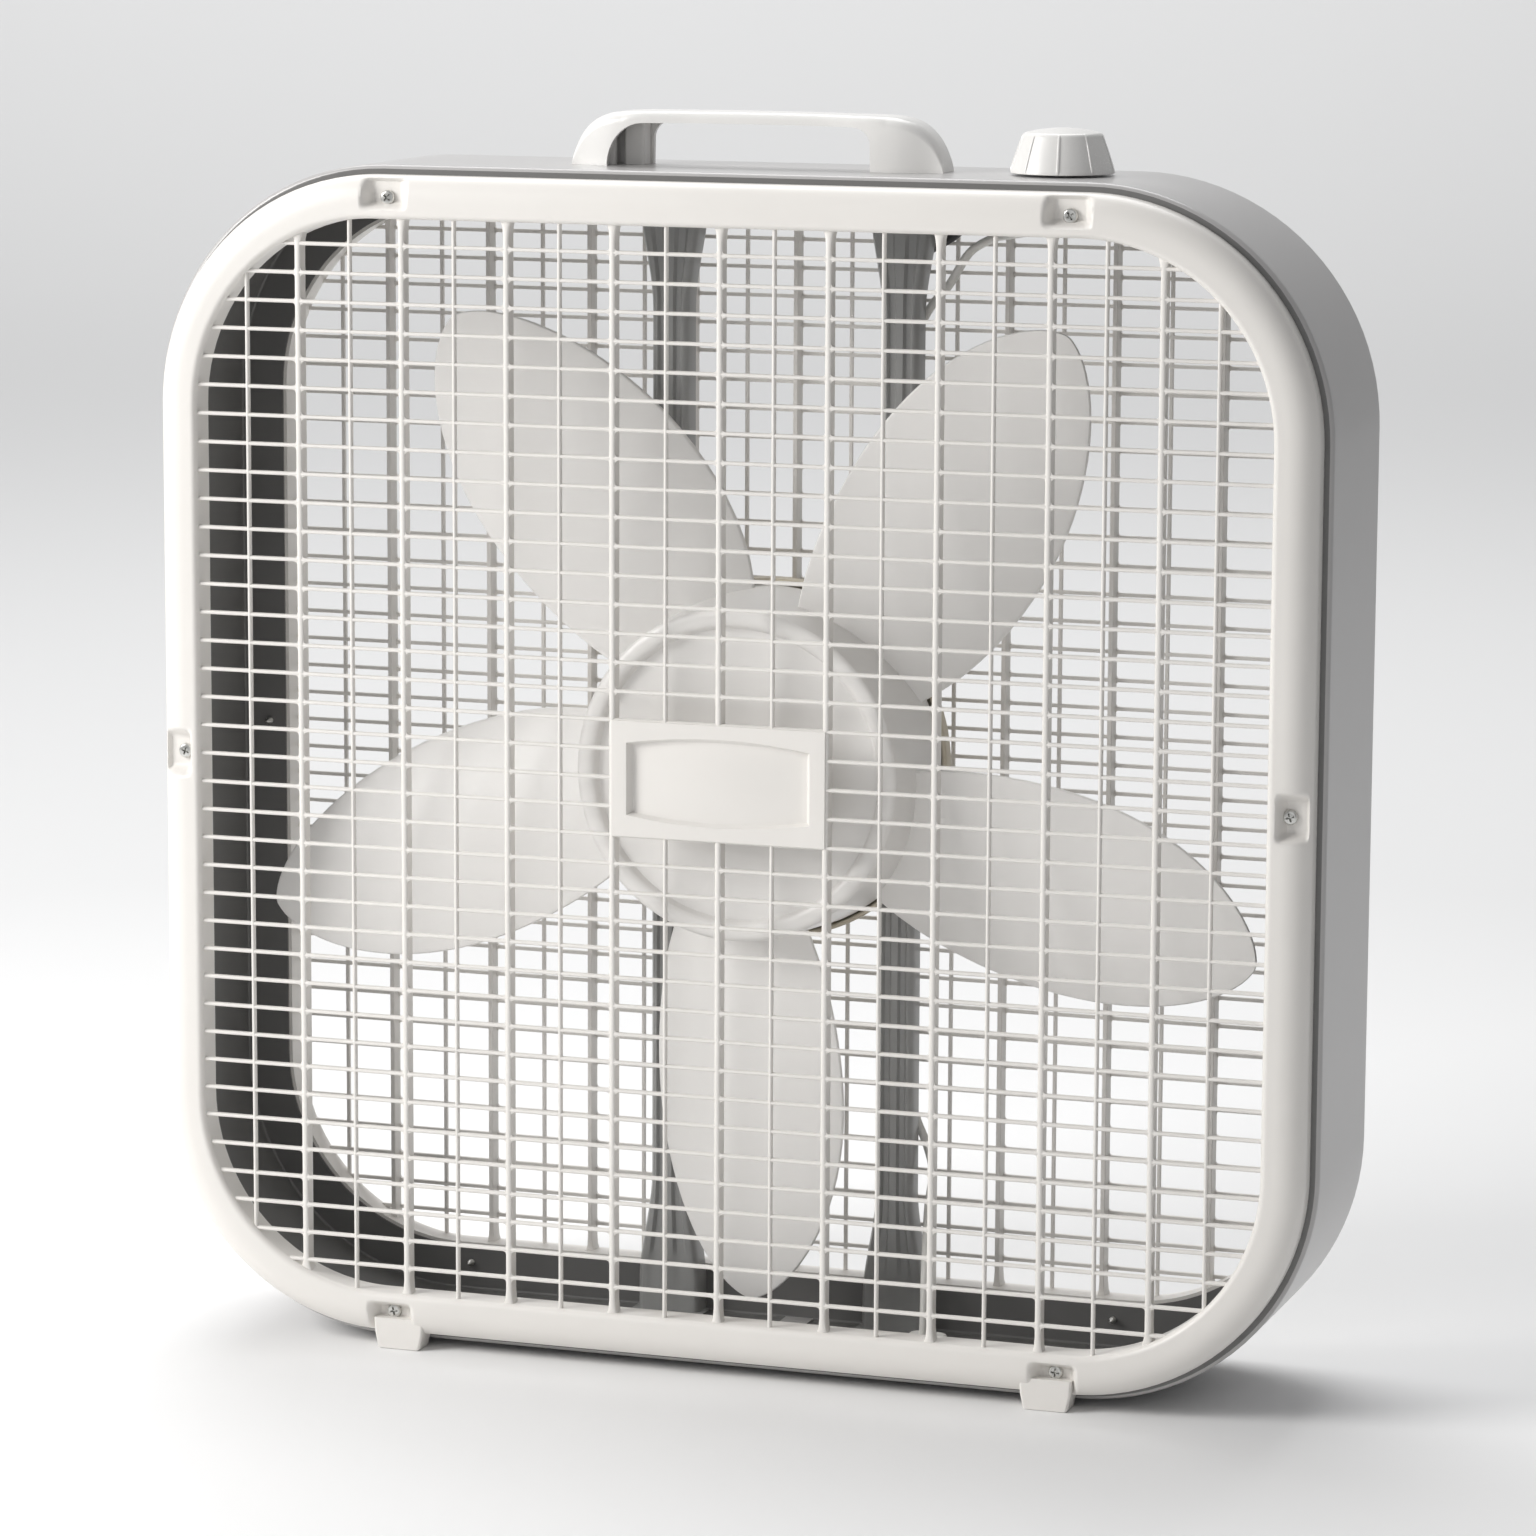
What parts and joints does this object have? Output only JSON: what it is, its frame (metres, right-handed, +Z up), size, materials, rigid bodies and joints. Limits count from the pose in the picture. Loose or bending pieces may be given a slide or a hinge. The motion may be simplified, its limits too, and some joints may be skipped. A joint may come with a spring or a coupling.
{
  "type": "box fan",
  "caption": "Square box fan: steel case between two moulded bar grilles, blade impeller and motor on two struts, carry handle, rotary speed knob on top.",
  "frame": {"origin": "on the floor, under the middle of the case, in line with the feet", "axes": "front of the fan faces -Y, +X is to the right seen from the front, +Z is up"},
  "size_m": [0.528, 0.114, 0.547],
  "materials": {
    "case_paint": "satin light grey paint",
    "white_plastic": "satin white moulding",
    "handle_plastic": "gloss white moulding",
    "blade_plastic": "satin light grey moulding",
    "strut_paint": "dark grey paint",
    "zinc": "bright zinc plate",
    "plate_plastic": "cream moulding",
    "rubber": "moulded rubber",
    "core_steel": "stacked steel sheet",
    "copper": "enamelled copper wire",
    "bell_alloy": "cast alloy",
    "bronze": "sintered bronze",
    "shaft_steel": "ground steel",
    "switch_plastic": "black moulding",
    "brass": "stamped brass",
    "fibre": "hard fibre",
    "gland_plastic": "white nylon",
    "lead_white": "white insulation",
    "lead_dark": "black insulation"
  },
  "bodies": {
    "case": {"case_band": "case_paint", "front_grille": "white_plastic", "rear_grille": "white_plastic", "front_grille_screws": "zinc", "rear_grille_screws": "zinc", "carry_handle": "handle_plastic", "handle_screws": "zinc", "left_strut": "strut_paint", "right_strut": "strut_paint", "strut_screws": "zinc", "motor_plate": "plate_plastic", "motor_grommets": "rubber", "motor_plate_screws": "zinc", "motor_plate_nuts": "zinc", "stator_core": "core_steel", "field_coils": "copper", "shading_rings": "copper", "front_bell": "bell_alloy", "rear_bell": "bell_alloy", "motor_bolts": "zinc", "motor_nuts": "zinc", "front_bearing": "bronze", "rear_bearing": "bronze", "switch_body": "switch_plastic", "switch_nut": "zinc", "switch_terminals": "brass", "cord_gland": "gland_plastic", "gland_nut": "gland_plastic", "supply_lead": "lead_white", "motor_lead": "lead_dark", "lead_clips": "gland_plastic"},
    "fan_rotor": {"impeller": "blade_plastic", "hub_clip": "zinc", "motor_shaft": "shaft_steel", "rotor_core": "core_steel", "thrust_washers": "fibre"},
    "speed_knob": {"knob": "handle_plastic", "switch_spindle": "zinc"}
  },
  "joints": [
    {"name": "fan_spin", "type": "hinge", "parent": "case", "child": "fan_rotor", "pos_m": [0, 0, 0.263], "axis": [0, 1, 0], "continuous": true},
    {"name": "knob_turn", "type": "hinge", "parent": "case", "child": "speed_knob", "pos_m": [0.1345, 0, 0.523], "axis": [0, 0, -1], "range_deg": [0, 135]}
  ]
}
